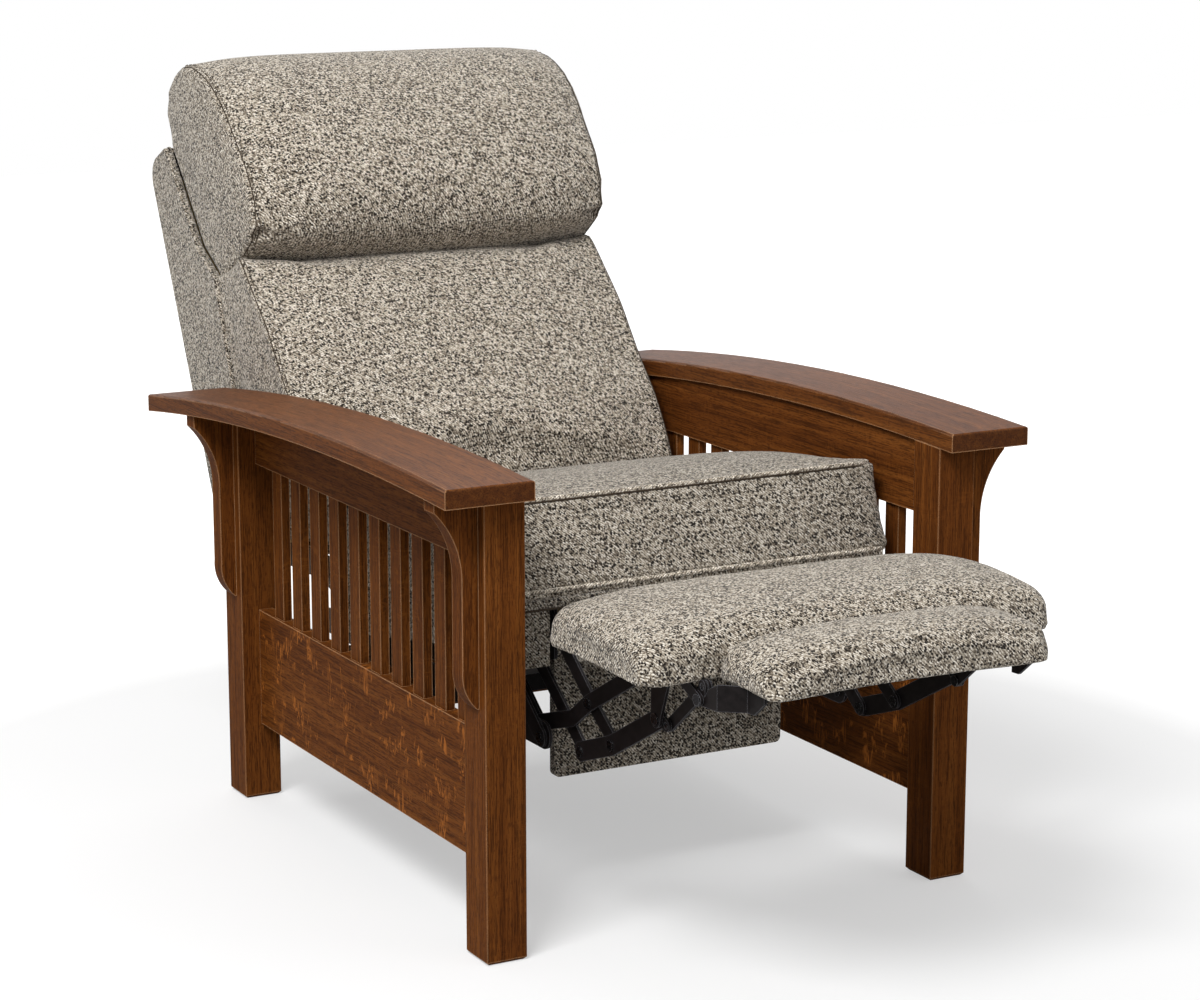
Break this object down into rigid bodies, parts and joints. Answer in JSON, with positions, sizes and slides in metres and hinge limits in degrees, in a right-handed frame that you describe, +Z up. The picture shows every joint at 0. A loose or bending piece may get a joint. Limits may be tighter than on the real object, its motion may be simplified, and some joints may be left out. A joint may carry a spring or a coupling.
{
  "type": "recliner",
  "caption": "Oak bow-arm recliner with slatted sides, corbels, loose tweed cushions, a rolled head cushion and a folding footrest with a flip-out front pad.",
  "frame": {"origin": "centre of the bounding box on the floor under the chair, with the footrest up and the back at rest", "axes": "+X towards the sitter's left side, +Y towards the rear of the chair, +Z up"},
  "size_m": [0.867, 1.6882, 1.0639],
  "materials": {
    "oak": "satin lacquer over dark stain",
    "frame_wood": "sawn",
    "plywood": "sanded",
    "tweed": "oatmeal tweed",
    "black_steel": "semi-gloss black",
    "rivet_steel": "zinc plated"
  },
  "bodies": {
    "base": {"right_front_leg": "oak", "right_rear_leg": "oak", "right_arm": "oak", "right_top_rail": "oak", "right_bottom_rail": "oak", "right_slats": "oak", "right_front_corbel": "oak", "right_rear_corbel": "oak", "left_front_leg": "oak", "left_rear_leg": "oak", "left_arm": "oak", "left_top_rail": "oak", "left_bottom_rail": "oak", "left_slats": "oak", "left_front_corbel": "oak", "left_rear_corbel": "oak", "rear_stretcher": "oak", "base_cross_tubes": "black_steel", "base_side_plates": "black_steel", "base_pivot_pins": "rivet_steel"},
    "front_lift": {"front_lift_links": "black_steel"},
    "rear_lift": {"rear_lift_links": "black_steel"},
    "seat": {"seat_side_rails": "tweed", "seat_cross_rails": "frame_wood", "seat_front_rail": "tweed", "seat_deck": "tweed", "seat_inner_plates": "black_steel", "seat_outer_plates": "black_steel", "seat_cushion": "tweed", "seat_pivot_pins": "rivet_steel", "panel_hinge": "black_steel"},
    "panel": {"drop_panel": "tweed"},
    "front_fold": {"front_fold_links": "black_steel", "front_link_pins": "rivet_steel"},
    "rear_fold": {"rear_fold_links": "black_steel", "rear_link_pins": "rivet_steel"},
    "drive": {"drive_crank_tube": "black_steel", "crank_pins": "rivet_steel"},
    "upper_fold": {"upper_fold_links": "black_steel"},
    "lower_fold": {"lower_fold_links": "black_steel", "lower_link_pins": "rivet_steel"},
    "footrest": {"footrest_brackets": "black_steel", "bracket_pins": "rivet_steel", "footrest_board": "plywood", "footrest_pad": "tweed"},
    "flipper": {"flipper_brackets": "black_steel", "flipper_pins": "rivet_steel", "flipper_board": "plywood", "flipper_pad": "tweed"},
    "control": {"flipper_control_links": "black_steel"},
    "back": {"back_side_panels": "tweed", "back_rear_cover": "tweed", "back_posts": "frame_wood", "back_rails": "frame_wood", "back_brackets": "black_steel", "back_cushion": "tweed", "head_cushion": "tweed"}
  },
  "joints": [
    {"name": "back_recline", "type": "hinge", "parent": "seat", "child": "back", "pos_m": [0, 0.35342, 0.344], "axis": [-1, 0, 0], "range_deg": [0, 26]},
    {"name": "front_lift_swing", "type": "hinge", "parent": "base", "child": "front_lift", "pos_m": [0, -0.32858, 0.255], "axis": [1, 0, 0], "range_deg": [0, 25.01]},
    {"name": "seat_glide", "type": "hinge", "parent": "front_lift", "child": "seat", "pos_m": [0, -0.24858, 0.317], "axis": [1, 0, 0], "range_deg": [-25.01, 0]},
    {"name": "rear_lift_swing", "type": "hinge", "parent": "base", "child": "rear_lift", "pos_m": [0, 0.08342, 0.255], "axis": [1, 0, 0], "range_deg": [0, 25.01]},
    {"name": "footrest_fold", "type": "hinge", "parent": "seat", "child": "front_fold", "pos_m": [0, -0.31108, 0.4125], "axis": [1, 0, 0], "range_deg": [0, 90]},
    {"name": "upper_fold_turn", "type": "hinge", "parent": "front_fold", "child": "upper_fold", "pos_m": [0, -0.42758, 0.323], "axis": [1, 0, 0], "range_deg": [-90, 0]},
    {"name": "lower_fold_turn", "type": "hinge", "parent": "front_fold", "child": "lower_fold", "pos_m": [0, -0.48758, 0.283], "axis": [1, 0, 0], "range_deg": [-90, 0]},
    {"name": "footrest_turn", "type": "hinge", "parent": "lower_fold", "child": "footrest", "pos_m": [0, -0.60858, 0.349], "axis": [1, 0, 0], "range_deg": [0, 90]},
    {"name": "rear_fold_turn", "type": "hinge", "parent": "seat", "child": "rear_fold", "pos_m": [0, -0.23008, 0.3835], "axis": [1, 0, 0], "range_deg": [0, 90]},
    {"name": "drive_turn", "type": "hinge", "parent": "seat", "child": "drive", "pos_m": [0, -0.17008, 0.3515], "axis": [1, 0, 0], "range_deg": [0, 90]},
    {"name": "flipper_turn", "type": "hinge", "parent": "footrest", "child": "flipper", "pos_m": [0, -0.70858, 0.398], "axis": [1, 0, 0], "range_deg": [0, 123.8]},
    {"name": "control_turn", "type": "hinge", "parent": "lower_fold", "child": "control", "pos_m": [0, -0.62552, 0.34429], "axis": [1, 0, 0], "range_deg": [0, 118.85]},
    {"name": "panel_swing", "type": "hinge", "parent": "seat", "child": "panel", "pos_m": [0, -0.25358, 0.364], "axis": [1, 0, 0], "range_deg": [0, 52.21]}
  ],
  "couplings": [
    {"joint": "front_lift_swing", "follows": "back_recline", "ratio": 0.96154},
    {"joint": "seat_glide", "follows": "back_recline", "ratio": -0.96154},
    {"joint": "rear_lift_swing", "follows": "back_recline", "ratio": 0.96154},
    {"joint": "upper_fold_turn", "follows": "footrest_fold", "ratio": -1},
    {"joint": "lower_fold_turn", "follows": "footrest_fold", "ratio": -1},
    {"joint": "footrest_turn", "follows": "footrest_fold", "ratio": 1},
    {"joint": "rear_fold_turn", "follows": "footrest_fold", "ratio": 1},
    {"joint": "drive_turn", "follows": "footrest_fold", "ratio": 1},
    {"joint": "flipper_turn", "follows": "footrest_fold", "ratio": 1.375},
    {"joint": "control_turn", "follows": "footrest_fold", "ratio": 1.32},
    {"joint": "panel_swing", "follows": "footrest_fold", "ratio": 0.58}
  ]
}
